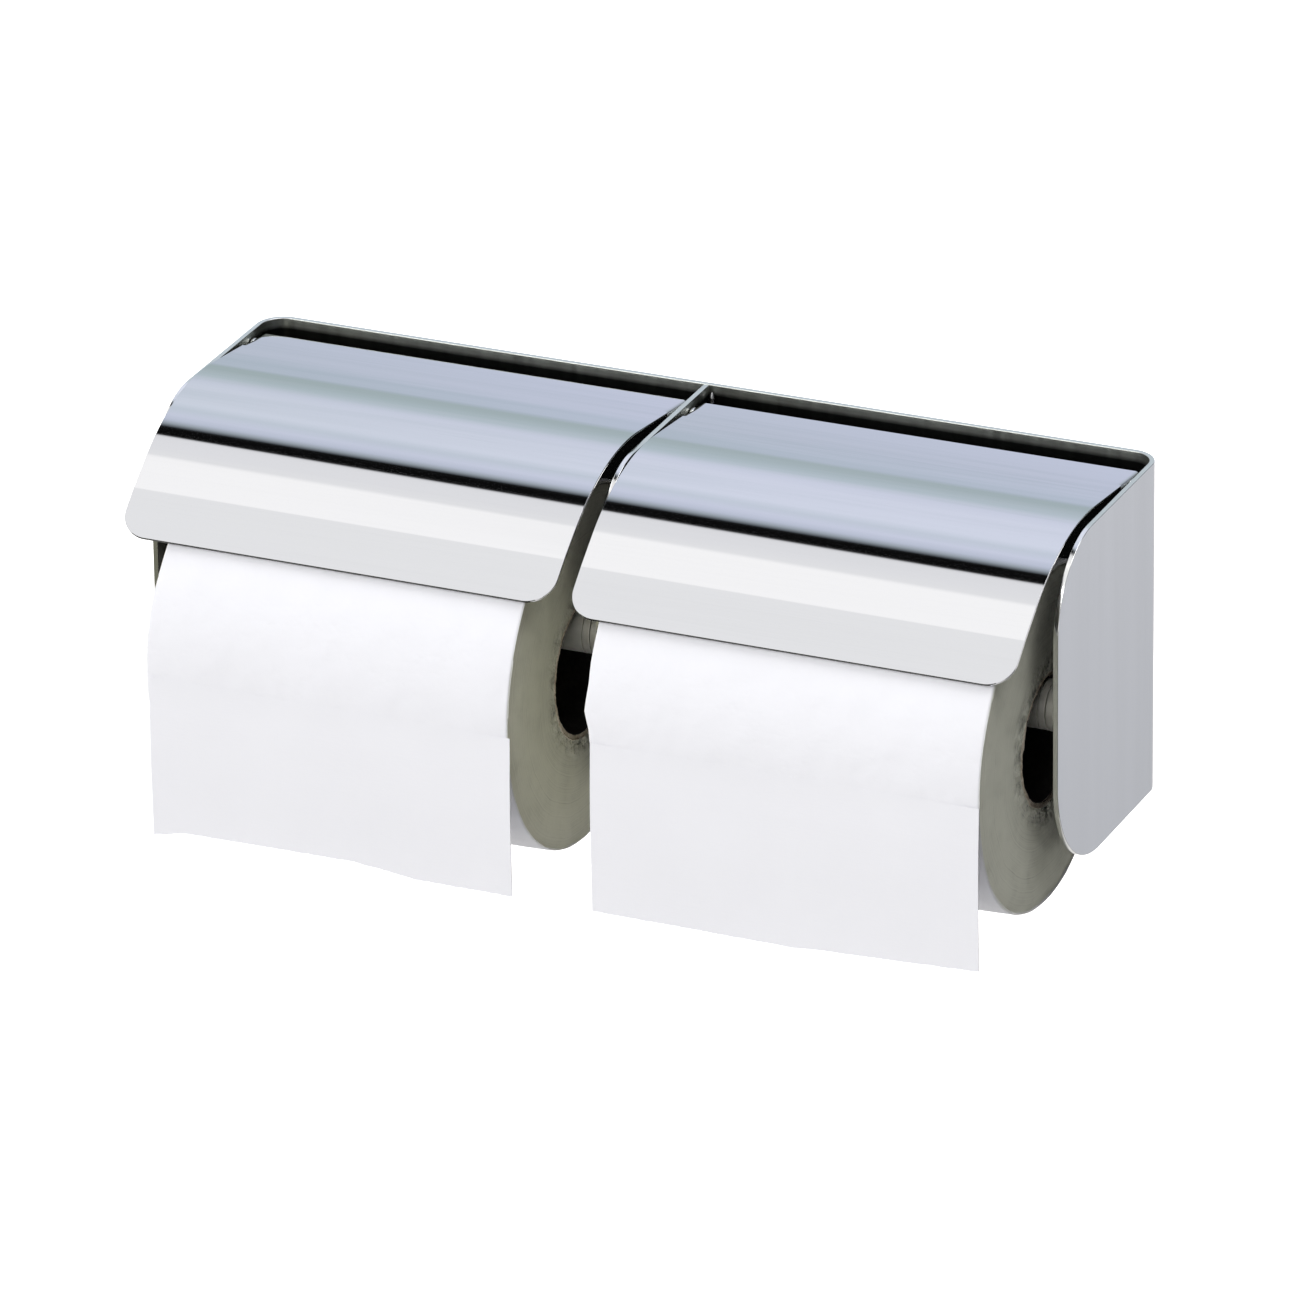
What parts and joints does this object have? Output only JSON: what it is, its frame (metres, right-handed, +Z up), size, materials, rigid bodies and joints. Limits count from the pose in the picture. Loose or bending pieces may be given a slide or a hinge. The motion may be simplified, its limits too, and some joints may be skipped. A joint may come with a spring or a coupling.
{
  "type": "double roll toilet paper dispenser",
  "caption": "Wall-mounted stainless toilet paper dispenser with hinged hoods over side-by-side rolls on sprung spindles, parted by a plate.",
  "frame": {"origin": "middle of the back plate's rear face, which lies on the wall", "axes": "+X to the right as seen from the front, +Y into the wall, +Z up; the front faces -Y"},
  "size_m": [0.27, 0.1182, 0.1152],
  "materials": {
    "polished_stainless": "polished sheet with a faint vertical grain",
    "hood_stainless": "polished sheet with a fine grain along its width",
    "chrome": "bright plated",
    "spring_steel": "drawn wire",
    "tissue_paper": "soft matt tissue",
    "cardboard": "matt card"
  },
  "bodies": {
    "housing": {"housing": "polished_stainless", "partition": "polished_stainless", "weld_tack_left_top": "polished_stainless", "weld_tack_left_bottom": "polished_stainless", "weld_tack_right_top": "polished_stainless", "weld_tack_right_bottom": "polished_stainless", "hinge_pin_left": "chrome", "hinge_pin_middle": "chrome", "hinge_pin_right": "chrome", "seat_left_bay_left": "chrome", "seat_left_bay_right": "chrome", "seat_right_bay_left": "chrome", "seat_right_bay_right": "chrome"},
    "hood_left": {"hood_left": "hood_stainless"},
    "hood_right": {"hood_right": "hood_stainless"},
    "spindle_left": {"spindle_tube_left": "chrome", "spindle_cap_left": "chrome", "spindle_spring_left": "spring_steel"},
    "spindle_right": {"spindle_tube_right": "chrome", "spindle_cap_right": "chrome", "spindle_spring_right": "spring_steel"},
    "plunger_left": {"plunger_left": "chrome", "plunger_tip_left": "chrome"},
    "plunger_right": {"plunger_right": "chrome", "plunger_tip_right": "chrome"},
    "roll_left": {"roll_left": "tissue_paper", "core_left": "cardboard"},
    "roll_right": {"roll_right": "tissue_paper", "core_right": "cardboard"},
    "tail_left": {"tail_left": "tissue_paper"},
    "tail_right": {"tail_right": "tissue_paper"}
  },
  "joints": [
    {"name": "hood_left_hinge", "type": "hinge", "parent": "housing", "child": "hood_left", "pos_m": [-0.06713, -0.0145, 0.0446], "axis": [-1, 0, 0], "range_deg": [0, 98]},
    {"name": "hood_right_hinge", "type": "hinge", "parent": "housing", "child": "hood_right", "pos_m": [0.06713, -0.0145, 0.0446], "axis": [-1, 0, 0], "range_deg": [0, 98]},
    {"name": "spindle_left_spin", "type": "hinge", "parent": "housing", "child": "spindle_left", "pos_m": [-0.06713, -0.065, 0], "axis": [1, 0, 0], "continuous": true},
    {"name": "spindle_right_spin", "type": "hinge", "parent": "housing", "child": "spindle_right", "pos_m": [0.06713, -0.065, 0], "axis": [1, 0, 0], "continuous": true},
    {"name": "plunger_left_push", "type": "slide", "parent": "spindle_left", "child": "plunger_left", "axis": [1, 0, 0], "range_m": [0, 0.008], "stiffness_N_per_m": 300, "springref_m": -0.01, "deforming": ["spindle_spring_left"]},
    {"name": "plunger_right_push", "type": "slide", "parent": "spindle_right", "child": "plunger_right", "axis": [1, 0, 0], "range_m": [0, 0.008], "stiffness_N_per_m": 300, "springref_m": -0.01, "deforming": ["spindle_spring_right"]},
    {"name": "roll_left_spin", "type": "hinge", "parent": "housing", "child": "roll_left", "pos_m": [-0.06377, -0.065, -0.0117], "axis": [1, 0, 0], "continuous": true},
    {"name": "roll_right_spin", "type": "hinge", "parent": "housing", "child": "roll_right", "pos_m": [0.07053, -0.065, -0.0102], "axis": [1, 0, 0], "continuous": true},
    {"name": "tail_left_swing", "type": "hinge", "parent": "housing", "child": "tail_left", "pos_m": [-0.06377, -0.1175, -0.0117], "axis": [-1, 0, 0], "range_deg": [0, 70]},
    {"name": "tail_right_swing", "type": "hinge", "parent": "housing", "child": "tail_right", "pos_m": [0.07053, -0.1145, -0.0102], "axis": [-1, 0, 0], "range_deg": [0, 70]}
  ]
}
